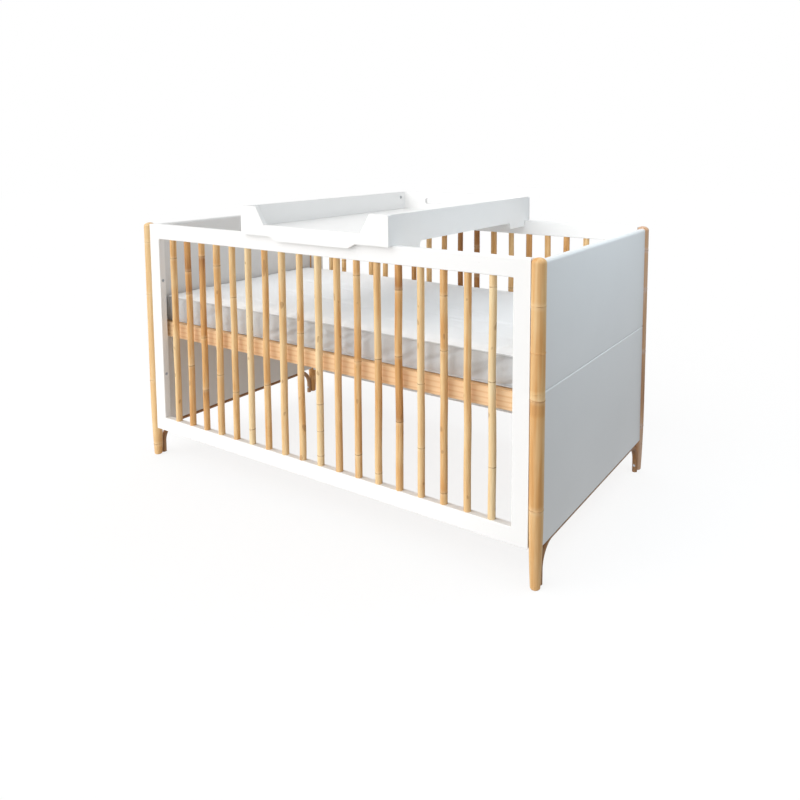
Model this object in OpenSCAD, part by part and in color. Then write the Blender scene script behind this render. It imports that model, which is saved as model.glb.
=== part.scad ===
// Convertible crib: rattan corner legs, end panels that split at mid height, two barred
// sides, a slatted base with its mattress, and a changing tray that lies across the sides.
// Millimetres. +X runs along the crib, -Y is the front, +Z is up. The origin is on the
// floor under the middle of the crib.

/* [Overall] */
// Distance between the leg centres along the crib
leg_span_x = 1430; // [1280:10:1600]
// Distance between the leg centres across the crib
leg_span_y = 770; // [690:10:850]
// Height of the leg tops above the floor
crib_h = 802; // [770:2:920]
// Height of the joint where the upper ends lift off
split_z = 482; // [470:2:530]

/* [Legs] */
// Diameter of a leg pole
leg_d = 36; // [33:1:40]
// Diameter of a leg at the floor
foot_d = 25; // [22:1:30]
// Height over which a leg narrows to its foot
taper_h = 220; // [160:10:280]
// Height of the rounded leg top
dome_h = 12; // [8:1:16]
// Rise of a growth ring above the pole
ring_rise = 0.6; // [0.3:0.1:0.7]
// Distance from a leg's axis to the bottom of its panel groove
groove_y = 10; // [8:0.5:11]

/* [End panels] */
// Thickness of an end panel
panel_t = 22; // [18:1:24]
// Height of the panel's lower edge above the floor
panel_z = 104; // [96:2:130]
// Drop from the leg tops to the panel's top edge
panel_drop = 7; // [4:1:12]
// Rounding of the panel's top edge
panel_edge_r = 8; // [4:1:8]
// Chamfer along the line where a panel splits
split_chamfer = 2.5; // [0.5:0.5:4]

/* [Arches] */
// Diameter of the bent arch pole
arch_d = 16; // [13:1:19]
// Radius of an arch's bends
arch_bend_r = 60; // [40:5:70]

/* [Barred sides] */
// Thickness of the rails and stiles
side_t = 22; // [18:1:26]
// Height of the top rail
top_rail_h = 48; // [42:1:56]
// Height of the bottom rail
bottom_rail_h = 45; // [40:1:52]
// Width of a stile
stile_w = 42; // [36:1:50]
// Height of the sides' lower edge above the floor
side_z = 97; // [90:1:120]
// Drop from the leg tops to the top rail's top
side_drop = 3; // [2:1:8]
// Number of bars in a side
bar_count = 18; // [15:1:20]
// Diameter of a bar
bar_d = 21; // [16:1:24]
// Diameter of the tenon at a bar's ends
tenon_d = 12; // [9:1:13]
// Depth of a bar's tenon in its rail
tenon_l = 15; // [10:1:20]
// Rounding of the rails' and stiles' edges
side_edge_r = 2.5; // [1:0.5:4]

/* [Base] */
// Height of the base's top above the floor
base_top_z = 465; // [440:5:470]
// Drop from the base's place to its low place
low_drop = 200; // [160:10:260]
// Height of the base's rails
base_rail_h = 50; // [44:1:60]
// Thickness of the base's rails
base_rail_t = 22; // [18:1:26]
// Gap between the base and the rails of a side
base_gap_y = 11; // [8:1:14]
// Number of slats
slat_count = 13; // [11:1:15]
// Width of a slat
slat_w = 60; // [48:2:68]
// Thickness of a slat
slat_t = 12; // [10:1:14]
// Width and height of the ledges under the slats
ledge_w = 20; // [16:1:24]

/* [Mattress] */
// Gap between the mattress and an end panel
mattress_gap_x = 4; // [3:1:10]
// Gap between the mattress and a side
mattress_gap_y = 24; // [18:1:30]
// Thickness of the mattress at its border
mattress_t = 84; // [70:2:100]
// Radius of the mattress's corners
mattress_corner_r = 30; // [20:5:60]
// Rise of the mattress's crown above its border
mattress_crown = 5; // [2:1:8]
// Draw-in of the mattress's border at half height
mattress_draw = 3; // [1:1:5]

/* [Changing tray] */
// Width of the tray along the crib
tray_w = 545; // [480:5:620]
// Place of the tray's middle along the crib
tray_x = 30; // [-60:10:60]
// Height of the tray's walls above the top rail
tray_h = 81; // [70:1:95]
// Thickness of the tray's front and back boards
tray_board_t = 14; // [12:1:18]
// Thickness of the tray's side boards
tray_side_t = 15; // [13:1:18]
// Gap between the tray's boards and the top rail
tray_rail_gap = 1; // [0.5:0.5:2]
// Width of the front board's cut-out at its top
cutout_w = 422; // [380:2:440]
// Width of the front board's cut-out at its bottom
cutout_base_w = 358; // [320:2:370]
// Depth of the front board's cut-out
cutout_h = 52; // [36:1:54]
// Width of the lip that hangs over the rail
lip_w = 326; // [280:2:340]
// Width of the lip's lower edge
lip_base_w = 270; // [240:2:276]
// Drop of the lip below the top rail's top
lip_drop = 15; // [8:1:20]
// Length of a foot inside the rail
tray_foot_l = 105; // [80:5:130]
// Drop of a foot below the top rail's top
tray_foot_drop = 20; // [14:1:26]
// Width of the handle slot in the back board
slot_w = 324; // [260:2:340]
// Height of the handle slot
slot_h = 22; // [20:1:28]
// Distance from the back board's top to the handle slot
slot_drop = 21; // [18:1:26]
// Thickness of the tray's floor
floor_t = 9; // [6:1:12]
// Height of the tray's floor above the top rail
floor_rise = 8; // [6:1:12]
// Depth of the floor's groove in the tray's boards
floor_groove = 5; // [3:1:6]

/* [Fasteners] */
// Height of the lower side bolts
bolt_low_z = 292; // [240:2:330]
// Height of the upper side bolts
bolt_high_z = 611; // [590:2:660]
// Diameter of the bolts
bolt_d = 6; // [5:1:6]
// Diameter of the threaded inserts
insert_d = 10; // [9:1:11]
// Length of the inserts in the legs
insert_l = 15; // [12:1:16]
// Diameter of the wood dowels
dowel_d = 8; // [6:1:8]
// Length of the wood dowels
dowel_l = 40; // [30:2:44]
// Diameter of the wood screws
screw_d = 4; // [3.5:0.5:4.5]

/* [Hidden] */

fit = 0.1;              // play round a dowel, a shank or an insert
panel_fit = 0.3;        // play between a panel and its groove, and between seated faces
pole_fit = 0.8;         // play between a stile's hollow edge and its leg
past = 1;               // how far a cutter runs past a face
sides = 72;             // facets of the round parts

leg_x = leg_span_x / 2;
leg_y = leg_span_y / 2;
leg_r = leg_d / 2;
foot_edge_r = 4;
panel_top_z = crib_h - panel_drop;
panel_half_y = leg_y - groove_y - panel_fit;
split_gap = 0.4;

post_dowel_d = 10;
post_dowel_l = 70;
panel_dowel_y = 150;

arch_r = arch_d / 2;
arch_z = panel_z + 1 - arch_r;                       // the panel's edge is hollowed 1 mm over it
arch_leg_gap = 0.5;
arch_foot_h = arch_z - arch_bend_r;                  // height of the straight foot below a bend
arch_leg_y = leg_y - leg_radius(arch_foot_h) - arch_r - arch_leg_gap;
arch_mid_y = arch_leg_y - arch_bend_r;
arch_screw_y = [-arch_mid_y * 0.6, 0, arch_mid_y * 0.6];
arch_screw_l = 34;
arch_screw_grip = arch_screw_l - arch_d + past;      // length of a screw beyond the pole
foot_screw_y = arch_leg_y - arch_r + past;           // the inner side of the foot, where the head sits
foot_screw_z = arch_foot_h * 0.6;

side_top_z = crib_h - side_drop;
side_inner_x = leg_x - leg_r - pole_fit - stile_w;
bar_low_z = side_z + bottom_rail_h;
bar_high_z = side_top_z - top_rail_h;
bar_gap = (2 * side_inner_x - bar_count * bar_d) / (bar_count + 1);
bar_pitch = bar_gap + bar_d;
rail_dowel_gap = 22;

head_d = bolt_d + 4;
head_l = 6;
socket_d = 0.75 * bolt_d;                            // across the corners of a bolt's hexagon socket
head_sink = 1;
head_play = 0.5;
insert_sink = 1;

inner_half_x = leg_x - panel_t / 2;                  // from the middle to an end panel
inner_half_y = leg_y - side_t / 2;                   // from the middle to a side
base_half_x = inner_half_x - panel_fit;
base_half_y = inner_half_y - base_gap_y;
base_z = base_top_z - base_rail_h;
base_bolt_drop = 3;                                  // from the end rail's middle
base_bolt_z = base_z + base_rail_h / 2 - base_bolt_drop;
panel_insert_l = 14;
end_inner_x = base_half_x - base_rail_t;
slat_half_y = base_half_y - base_rail_t - panel_fit;
base_bolt_y = slat_half_y - ledge_w - 2 * head_d;    // clear of the ledges
base_edge_r = 2;
slat_edge_r = 3;
slat_gap = (2 * end_inner_x - slat_count * slat_w) / (slat_count + 1);
base_screw_l = 50;

mattress_half_x = inner_half_x - mattress_gap_x;
mattress_half_y = inner_half_y - mattress_gap_y;
mattress_arc_steps = 8;

tray_z = side_top_z + panel_fit;                     // the tray's underside
tray_top_z = side_top_z + tray_h;
tray_inner_y = leg_y + side_t / 2 + tray_rail_gap;   // inner faces of the front and back boards
tray_half_w = tray_w / 2;
tray_inner_x = tray_half_w - tray_side_t;
tray_board_low = 2;
tray_foot_gap = 1.5;
tray_foot_fillet = 12;
corner_r = 6;
floor_z = side_top_z + floor_rise;
tray_dowel_d = 6;
tray_dowel_l = 28;
tray_dowel_in = 0.7 * tray_dowel_l;                  // length of a tray dowel inside its side board
cam_d = 12;
cam_cross_w = 0.7 * cam_d;
cam_l = 10;
cam_inset = 24;
cam_slot_w = 1.4;                                    // width and half depth of a cam's cross slot
cam_bolt_d = 6;
cam_bolt_grip = tray_board_t * 0.6;                  // length of a cam bolt inside its cross board
tray_dowel_z = tray_z + tray_h * 0.35;
cam_z = tray_z + tray_h * 0.75;

white = [0.95, 0.95, 0.94];
rattan = [0.85, 0.68, 0.45];
panel_grey = [0.68, 0.68, 0.68];
pine = [0.86, 0.68, 0.50];
steel = [0.45, 0.45, 0.47];
brass = [0.78, 0.62, 0.32];
beech = [0.80, 0.65, 0.48];

// Radius of a leg at a height: full above the taper, drawn in to the foot below it
function leg_radius(z) =
    let (u = min(1, z / taper_h)) foot_d / 2 + (leg_r - foot_d / 2) * (1 - (1 - u) * (1 - u));

// Rise of a growth ring at a distance from its middle: a swelling with a fine scar line
function ring_height(d) = lookup(abs(d), [[0, -0.3], [0.4, -0.3], [1.1, ring_rise], [3.6, 0]]);
function rings_height(z, rings) = [for (n = rings) ring_height(z - n)] * [for (n = rings) 1];
function ring_stations(rings) = [for (n = rings, d = [-3.6, -1.1, -0.4, 0.4, 1.1, 3.6]) n + d];

function sorted(a) = len(a) < 2 ? a :
    let (p = a[floor(len(a) / 2)])
    concat(sorted([for (v = a) if (v < p) v]), [p], sorted([for (v = a) if (v > p) v]));
function between(a, low, high) = [for (v = a) if (v > low && v < high) v];

// Growth rings of the legs, from the floor up
function leg_rings(side_x, side_y) =
    side_y < 0 ? (side_x > 0 ? [200, 467, 580, 690] : [37, 262, 560, 738])
               : (side_x > 0 ? [150, 398, 600, 727] : [60, 310, 530, 668]);

// A rectangle with round corners, its middle at the origin
module round_rect(w, h, r) {
    square([w, h - 2 * r], center = true);
    square([w - 2 * r, h], center = true);
    for (x = [-1, 1], y = [-1, 1])
        translate([x * (w / 2 - r), y * (h / 2 - r)]) circle(r = r, $fn = sides);
}

// A drilling along +X, +Y or +Z, or back along it where the length is negative
module drill_x(d, l) rotate([0, 90, 0]) drill_z(d, l);
module drill_y(d, l) rotate([-90, 0, 0]) drill_z(d, l);
module drill_z(d, l) translate([0, 0, min(0, l)]) cylinder(d = d, h = abs(l), $fn = 36);

// Rounds an edge that runs along +Z through the origin, with the wood at -X and -Y
module edge_cut(l, r) {
    difference() {
        translate([-r, -r, 0]) cube([r + past, r + past, l]);
        translate([-r, -r, -past]) cylinder(r = r, h = l + 2 * past, $fn = 36);
    }
}

// A countersunk wood screw along +Z, its head at the origin, and its hole
module wood_screw(l) {
    cylinder(d1 = 2 * screw_d, d2 = screw_d, h = screw_d / 2, $fn = 36);
    cylinder(d = screw_d, h = l - screw_d, $fn = 36);
    translate([0, 0, l - screw_d]) cylinder(d1 = screw_d, d2 = 1, h = screw_d, $fn = 36);
}
module wood_screw_hole(l) {
    translate([0, 0, -screw_d]) cylinder(d = 2 * screw_d + 4 * fit, h = screw_d, $fn = 36);
    cylinder(d1 = 2 * screw_d + 4 * fit, d2 = screw_d + 2 * fit, h = screw_d / 2 + fit, $fn = 36);
    cylinder(d = screw_d + 2 * fit, h = l + panel_fit, $fn = 36);
}

module at_leg(side_x, side_y) translate([side_x * leg_x, side_y * leg_y, 0]) children();

// Legs

module pole(stations, rings, low_end, high_end) {
    rotate_extrude($fn = sides)
        polygon(concat(low_end, [for (z = stations) [leg_radius(z) + rings_height(z, rings), z]],
                       high_end));
}

// The groove faces the panel, the insert's bore faces the middle of the crib
module leg_cuts(side_x, side_y, low_z, high_z, bolt_z) {
    translate([-panel_t / 2 - fit, side_y < 0 ? groove_y : -groove_y - leg_r, low_z])
        cube([panel_t + 2 * fit, leg_r, high_z - low_z]);
    translate([-side_x * (leg_r + past), 0, bolt_z])
        drill_x(insert_d + 2 * fit, side_x * (past + insert_sink + insert_l + fit));
    translate([0, 0, split_z - post_dowel_l / 2 - panel_fit])
        drill_z(post_dowel_d + 2 * fit, post_dowel_l + 2 * panel_fit);
}

module post_lower(side_x, side_y) {
    rings = leg_rings(side_x, side_y);
    top_z = split_z - split_gap / 2;
    stations = sorted(between(concat([for (k = [0 : 7]) taper_h * (k + 0.5) / 8], [taper_h],
                                     ring_stations(rings)), foot_edge_r + past, top_z - past));
    foot_r = leg_radius(foot_edge_r) - foot_edge_r;
    color(rattan) at_leg(side_x, side_y) difference() {
        pole(stations, rings,
             concat([[0, 0]], [for (a = [-90 : 22.5 : 0])
                 [foot_r + foot_edge_r * cos(a), foot_edge_r + foot_edge_r * sin(a)]]),
             [[leg_radius(top_z), top_z], [0, top_z]]);
        leg_cuts(side_x, side_y, panel_z - panel_fit, split_z + past, bolt_low_z);
        translate([0, -side_y * (leg_r + past), foot_screw_z])
            drill_y(screw_d + 2 * fit,
                    side_y * (past + leg_r - leg_radius(foot_screw_z) + arch_screw_grip + panel_fit));
    }
}

module post_upper(side_x, side_y) {
    rings = leg_rings(side_x, side_y);
    low_z = split_z + split_gap / 2;
    dome_z = crib_h - dome_h;
    stations = between(ring_stations(rings), low_z + past, dome_z - past);
    color(rattan) at_leg(side_x, side_y) difference() {
        pole(stations, rings, [[0, low_z], [leg_radius(low_z), low_z]],
             concat([for (a = [0 : 15 : 75]) [leg_r * cos(a), dome_z + dome_h * sin(a)]],
                    [[0, crib_h]]));
        leg_cuts(side_x, side_y, split_z - past, crib_h + past, bolt_high_z);
    }
}

module post_dowels() {
    color(beech) for (x = [-1, 1], y = [-1, 1])
        at_leg(x, y) translate([0, 0, split_z - post_dowel_l / 2])
            cylinder(d = post_dowel_d, h = post_dowel_l, $fn = 36);
}

// Threaded inserts of the side bolts, one low and one high in each leg
module post_inserts() {
    color(brass) for (x = [-1, 1], y = [-1, 1], z = [bolt_low_z, bolt_high_z])
        at_leg(x, y) translate([-x * (leg_r - insert_sink), 0, z]) difference() {
            drill_x(insert_d, x * insert_l);
            translate([-x * past, 0, 0]) drill_x(bolt_d + 2 * fit, x * (insert_l + 2 * past));
        }
}

// End panels

module panel_board(low_z, high_z) {
    rotate([90, 0, 0]) linear_extrude(2 * panel_half_y, center = true) difference() {
        union() children();
        for (x = [-1, 1])
            translate([x * panel_t / 2, split_z]) rotate(45)
                square(split_chamfer * sqrt(2) + split_gap, center = true);
    }
}

module panel_dowel_holes(side_x) {
    for (y = [-1, 1])
        translate([side_x * leg_x, y * panel_dowel_y, split_z - dowel_l / 2 - panel_fit])
            drill_z(dowel_d + 2 * fit, dowel_l + 2 * panel_fit);
}

module panel_lower(side_x) {
    color(panel_grey) difference() {
        translate([side_x * leg_x, 0, 0]) panel_board()
            translate([-panel_t / 2, panel_z]) square([panel_t, split_z - split_gap / 2 - panel_z]);
        panel_dowel_holes(side_x);
        translate([side_x * leg_x, -leg_y, arch_z]) drill_y(arch_d + 2 * panel_fit, leg_span_y);
        for (y = arch_screw_y)
            translate([side_x * leg_x, y, arch_z]) drill_z(screw_d + 2 * fit, arch_screw_l);
        for (y = [-1, 1], z = [base_bolt_z, base_bolt_z - low_drop])
            translate([side_x * (inner_half_x - past), y * base_bolt_y, z])
                drill_x(insert_d + 2 * fit, side_x * (panel_insert_l + past + panel_fit));
    }
}

module panel_upper(side_x) {
    color(panel_grey) difference() {
        translate([side_x * leg_x, 0, 0]) panel_board() {
            translate([-panel_t / 2, split_z + split_gap / 2])
                square([panel_t, panel_top_z - panel_edge_r - split_z - split_gap / 2]);
            translate([-panel_t / 2 + panel_edge_r, panel_top_z - 2 * panel_edge_r])
                square([panel_t - 2 * panel_edge_r, 2 * panel_edge_r]);
            for (x = [-1, 1])
                translate([x * (panel_t / 2 - panel_edge_r), panel_top_z - panel_edge_r])
                    circle(r = panel_edge_r, $fn = sides);
        }
        panel_dowel_holes(side_x);
    }
}

module panel_dowels() {
    color(beech) for (x = [-1, 1], y = [-1, 1])
        translate([x * leg_x, y * panel_dowel_y, split_z - dowel_l / 2])
            cylinder(d = dowel_d, h = dowel_l, $fn = 36);
}

// Inserts of the base bolts in the lower panels, at the height in use and at the low height
module panel_inserts() {
    color(brass) for (x = [-1, 1], y = [-1, 1], z = [base_bolt_z, base_bolt_z - low_drop])
        translate([x * inner_half_x, y * base_bolt_y, z]) difference() {
            drill_x(insert_d, x * panel_insert_l);
            translate([-x * past, 0, 0]) drill_x(bolt_d + 2 * fit, x * (panel_insert_l + 2 * past));
        }
}

// Arches: one pole bent down at both ends, with a straight foot beside each leg

module arch(side_x) {
    color(rattan) translate([side_x * leg_x, 0, 0]) difference() {
        union() {
            for (y = [0, 1]) mirror([0, y, 0]) {
                translate([0, -past, arch_z]) rotate([-90, 0, 0])
                    cylinder(r = arch_r, h = arch_mid_y + past, $fn = sides);
                translate([0, arch_mid_y, arch_foot_h]) rotate([90, 0, 90])
                    rotate_extrude(angle = 90, $fn = sides)
                        translate([arch_bend_r, 0]) circle(r = arch_r, $fn = sides);
                translate([0, arch_leg_y, 0]) cylinder(r = arch_r, h = arch_foot_h, $fn = sides);
            }
        }
        for (y = arch_screw_y) translate([0, y, arch_z - arch_r + past]) wood_screw_hole(arch_d);
        for (y = [0, 1]) mirror([0, y, 0])
            translate([0, foot_screw_y, foot_screw_z]) rotate([-90, 0, 0]) wood_screw_hole(arch_d);
    }
}

module arch_screws() {
    color(steel) for (x = [-1, 1]) translate([x * leg_x, 0, 0]) {
        for (y = arch_screw_y) translate([0, y, arch_z - arch_r + past]) wood_screw(arch_screw_l);
        for (y = [0, 1]) mirror([0, y, 0])
            translate([0, foot_screw_y, foot_screw_z]) rotate([-90, 0, 0]) wood_screw(arch_screw_l);
    }
}

// Barred sides. Each is drawn at the front and turned to the back by mirror_side.

module mirror_side(side_y) mirror([0, side_y > 0 ? 1 : 0, 0]) children();

function bar_x(i) = -side_inner_x + bar_gap + bar_d / 2 + i * bar_pitch;

module rail(z, h) {
    translate([0, -leg_y, z + h / 2]) rotate([90, 0, 90])
        linear_extrude(2 * side_inner_x, center = true) round_rect(side_t, h, side_edge_r);
}

module rail_dowel_holes(z, h) {
    for (x = [-1, 1], k = [-1, 1])
        translate([x * (side_inner_x - dowel_l / 2 - panel_fit), -leg_y,
                   z + h / 2 + k * rail_dowel_gap / 2])
            drill_x(dowel_d + 2 * fit, x * (dowel_l + 2 * panel_fit));
}

module tenon_holes(z, direction) {
    for (i = [0 : bar_count - 1])
        translate([bar_x(i), -leg_y, z])
            drill_z(tenon_d + 2 * fit, direction * (tenon_l + panel_fit));
}

module top_rail(side_y) {
    color(white) mirror_side(side_y) difference() {
        rail(bar_high_z, top_rail_h);
        rail_dowel_holes(bar_high_z, top_rail_h);
        tenon_holes(bar_high_z, 1);
    }
}

module bottom_rail(side_y) {
    color(white) mirror_side(side_y) difference() {
        rail(side_z, bottom_rail_h);
        rail_dowel_holes(side_z, bottom_rail_h);
        tenon_holes(bar_low_z, -1);
    }
}

// A stile: rounded edges, a hollow edge round the leg, and two sunk bolt holes
module stile(side_x, side_y) {
    outer_x = leg_x - sqrt(pow(leg_r + pole_fit, 2) - pow(side_t / 2, 2)) - 0.5;
    width = outer_x - side_inner_x;
    height = side_top_z - side_z;
    color(white) mirror([side_x < 0 ? 1 : 0, 0, 0]) mirror_side(side_y) difference() {
        translate([side_inner_x, -leg_y - side_t / 2, side_z]) cube([width, side_t, height]);
        translate([leg_x, -leg_y, side_z - past])
            cylinder(r = leg_r + pole_fit, h = height + 2 * past, $fn = sides);
        for (y = [0, 1]) translate([0, -leg_y, 0]) mirror([0, y, 0]) {
            translate([side_inner_x, side_t / 2, bar_low_z]) mirror([1, 0, 0])
                edge_cut(bar_high_z - bar_low_z, side_edge_r);
            translate([side_inner_x - past, side_t / 2, side_top_z]) rotate([90, 0, 90])
                edge_cut(width + 2 * past, side_edge_r);
            translate([side_inner_x - past, side_t / 2, side_z]) mirror([0, 0, 1]) rotate([90, 0, 90])
                edge_cut(width + 2 * past, side_edge_r);
        }
        for (z = [bolt_low_z, bolt_high_z]) translate([side_inner_x - past, -leg_y, z]) {
            drill_x(bolt_d + 2 * head_play, width + 2 * past);
            drill_x(head_d + 2 * head_play, past + head_sink + head_l);
        }
        rail_dowel_holes(bar_high_z, top_rail_h);
        rail_dowel_holes(side_z, bottom_rail_h);
    }
}

// A bar is a cane: tenons, slight swelling, and growth rings at a height of its own
function bar_rings(i, side_y) =
    let (span = bar_high_z - bar_low_z, u = i * 0.618 + (side_y > 0 ? 0.37 : 0))
    [for (k = [0.14, 0.47, 0.80]) bar_low_z + span * (k + 0.13 * sin(360 * (u + 2 * k)))];

module bars(side_y) {
    low_z = bar_low_z + panel_fit;
    high_z = bar_high_z - panel_fit;
    tenon_r = tenon_d / 2;
    color(rattan) for (i = [0 : bar_count - 1]) {
        rings = bar_rings(i, side_y);
        translate([bar_x(i), side_y * leg_y, 0]) rotate_extrude($fn = 48)
            polygon(concat(
                [[0, bar_low_z - tenon_l], [tenon_r, bar_low_z - tenon_l], [tenon_r, low_z],
                 [bar_d / 2 - past, low_z], [bar_d / 2, low_z + past]],
                [for (z = ring_stations(rings)) [bar_d / 2 + rings_height(z, rings), z]],
                [[bar_d / 2, high_z - past], [bar_d / 2 - past, high_z], [tenon_r, high_z],
                 [tenon_r, bar_high_z + tenon_l], [0, bar_high_z + tenon_l]]));
    }
}

module frame_dowels() {
    color(beech) for (y = [-1, 1], x = [-1, 1], k = [-1, 1],
                      z = [bar_high_z + top_rail_h / 2, side_z + bottom_rail_h / 2])
        translate([x * (side_inner_x - dowel_l / 2), y * leg_y, z + k * rail_dowel_gap / 2])
            drill_x(dowel_d, x * dowel_l);
}

// Bolts through the stiles into the legs' inserts, with a hexagon socket in each head
module side_bolts() {
    head_x = side_inner_x + head_sink;
    color(steel) for (x = [-1, 1], y = [-1, 1], z = [bolt_low_z, bolt_high_z])
        translate([x * head_x, y * leg_y, z])
            socket_bolt(x, leg_x - leg_r + insert_l - head_x);
}

module socket_bolt(direction, l) {
    difference() {
        union() {
            drill_x(head_d, direction * head_l);
            drill_x(bolt_d, direction * l);
        }
        translate([-direction * past, 0, 0]) rotate([0, direction * 90, 0])
            cylinder(d = socket_d, h = past + head_l / 2, $fn = 6);
    }
}

// Base

module base_side_rail(side_y) {
    color(pine) difference() {
        translate([0, side_y * (base_half_y - base_rail_t / 2), base_z + base_rail_h / 2])
            rotate([90, 0, 90]) linear_extrude(2 * base_half_x, center = true)
                round_rect(base_rail_t, base_rail_h, base_edge_r);
        base_screw_places() wood_screw_hole(base_screw_l);
    }
}

module base_end(side_x) {
    color(pine) difference() {
        translate([side_x * (base_half_x - base_rail_t / 2), 0, base_z + base_rail_h / 2])
            rotate([90, 0, 0]) linear_extrude(2 * slat_half_y, center = true)
                round_rect(base_rail_t, base_rail_h, base_edge_r);
        base_screw_places() wood_screw_hole(base_screw_l);
        for (y = [-1, 1])
            translate([side_x * (end_inner_x - past), y * base_bolt_y, base_bolt_z])
                drill_x(bolt_d + 2 * head_play, side_x * (base_rail_t + 2 * past));
    }
}

// Two screws at each corner, through a side rail into the end rail
module base_screw_places() {
    for (x = [-1, 1], y = [-1, 1], k = [-1, 1])
        translate([x * (base_half_x - base_rail_t / 2), y * base_half_y,
                   base_z + base_rail_h / 2 + k * base_rail_h / 4])
            rotate([y * 90, 0, 0]) children();
}

module base_screws() { color(steel) base_screw_places() wood_screw(base_screw_l); }

module base_bolts() {
    color(steel) for (x = [-1, 1], y = [-1, 1])
        translate([x * (end_inner_x - head_l - panel_fit), y * base_bolt_y, base_bolt_z])
            socket_bolt(x, head_l + base_rail_t + panel_insert_l);
}

module slat_ledges() {
    color(pine) for (y = [-1, 1])
        translate([-end_inner_x + panel_fit,
                   y * (slat_half_y - ledge_w / 2) - ledge_w / 2,
                   base_top_z - slat_t - ledge_w - panel_fit])
            cube([2 * (end_inner_x - panel_fit), ledge_w, ledge_w]);
}

module base_slats() {
    color(pine) for (i = [0 : slat_count - 1])
        translate([-end_inner_x + slat_gap + slat_w / 2 + i * (slat_w + slat_gap), 0,
                   base_top_z - slat_t / 2])
            rotate([90, 0, 0]) linear_extrude(2 * slat_half_y, center = true)
                round_rect(slat_w, slat_t, slat_edge_r);
}

// Mattress: a crowned block whose border is drawn in between its upper and lower edges

// The outline with its round corners, drawn in by an inset
function mattress_outline(inset) =
    let (r = mattress_corner_r - inset, x = mattress_half_x - inset - r, y = mattress_half_y - inset - r)
    [for (corner = [[x, y, 0], [-x, y, 90], [-x, -y, 180], [x, -y, 270]], j = [0 : mattress_arc_steps])
        let (a = corner[2] + 90 * j / mattress_arc_steps)
            [corner[0] + r * cos(a), corner[1] + r * sin(a)]];

// Rings of [inset, height, share of the outline kept] from the underside to the crown
function mattress_rings() = concat(
    [[9, 0, 1], [3, 2, 1], [0, 8, 1], [mattress_draw * 0.7, mattress_t * 0.3, 1],
     [mattress_draw, mattress_t * 0.5, 1], [mattress_draw * 0.7, mattress_t * 0.7, 1],
     [0, mattress_t - 8, 1], [3, mattress_t - 2, 1], [9, mattress_t, 1]],
    [for (k = [0.93, 0.82, 0.64, 0.40, 0.16]) [9, mattress_t + mattress_crown * (1 - pow(k, 6)), k]]);

module mattress() {
    rings = mattress_rings();
    n = len(mattress_outline(0));
    last = len(rings) - 1;
    points = concat(
        [for (g = rings, p = mattress_outline(g[0])) [p[0] * g[2], p[1] * g[2], g[1]]],
        [[0, 0, 0], [0, 0, mattress_t + mattress_crown]]);
    faces = concat(
        [for (j = [0 : n - 1]) [n * (last + 1), j, (j + 1) % n]],
        [for (k = [0 : last - 1], j = [0 : n - 1]) let (a = k * n + j, b = k * n + (j + 1) % n)
            each [[a, a + n, b], [b, a + n, b + n]]],
        [for (j = [0 : n - 1]) [last * n + j, n * (last + 1) + 1, last * n + (j + 1) % n]]);
    color(white) translate([0, 0, base_top_z + panel_fit]) polyhedron(points, faces);
}

// Changing tray: four boards round a grooved-in floor, on feet that fit between the rails

module tray_place() translate([tray_x, 0, 0]) children();

// A board's outline with a round corner at each upper end
module board_outline() {
    top = tray_top_z - side_top_z;
    difference() {
        translate([-tray_half_w, -tray_board_low]) square([tray_w, top + tray_board_low]);
        for (x = [0, 1]) mirror([x, 0]) translate([tray_half_w, top]) difference() {
            translate([-corner_r, -corner_r]) square(corner_r + past);
            translate([-corner_r, -corner_r]) circle(r = corner_r, $fn = sides);
        }
    }
}

module lip_outline() {
    polygon([[-lip_w / 2, past - tray_board_low], [-lip_base_w / 2, -lip_drop],
             [lip_base_w / 2, -lip_drop], [lip_w / 2, past - tray_board_low]]);
}

module floor_cut() {
    translate([tray_x - tray_inner_x - floor_groove, -tray_inner_y - floor_groove, floor_z])
        cube([2 * (tray_inner_x + floor_groove), 2 * (tray_inner_y + floor_groove),
              floor_t + panel_fit]);
}

module cross_board(side_y) {
    color(white) difference() {
        tray_place() translate([0, side_y * (tray_inner_y + tray_board_t / 2), side_top_z])
            rotate([90, 0, 0]) linear_extrude(tray_board_t, center = true) children();
        floor_cut();
        tray_corner_places(tray_dowel_z) tray_dowel_hole();
        tray_corner_places(cam_z) drill_y(cam_bolt_d + 2 * fit, cam_bolt_grip);
    }
}

// A slot with round ends, its middle at the origin
module slot_outline() {
    square([slot_w - slot_h, slot_h], center = true);
    for (x = [-1, 1]) translate([x * (slot_w - slot_h) / 2, 0]) circle(d = slot_h, $fn = sides);
}

module tray_front_board() {
    cross_board(-1) {
        difference() {
            board_outline();
            polygon([[-cutout_base_w / 2, tray_h - cutout_h], [cutout_base_w / 2, tray_h - cutout_h],
                     [cutout_w / 2, tray_h + past], [-cutout_w / 2, tray_h + past]]);
        }
        lip_outline();
    }
}

module tray_back_board() {
    cross_board(1) {
        difference() {
            board_outline();
            translate([0, tray_h - slot_drop - slot_h / 2]) slot_outline();
        }
        lip_outline();
    }
}

// At each corner, where a side board's middle meets a cross board, pointing out along +Y
module tray_corner_places(z) {
    for (x = [-1, 1], y = [0, 1]) mirror([0, y, 0]) tray_place()
        translate([x * (tray_inner_x + tray_side_t / 2), tray_inner_y, z]) children();
}

// Most of a tray dowel is in the side board
module tray_dowel_hole() {
    translate([0, -tray_dowel_in, 0]) drill_y(tray_dowel_d + 2 * fit, tray_dowel_l);
}

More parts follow.
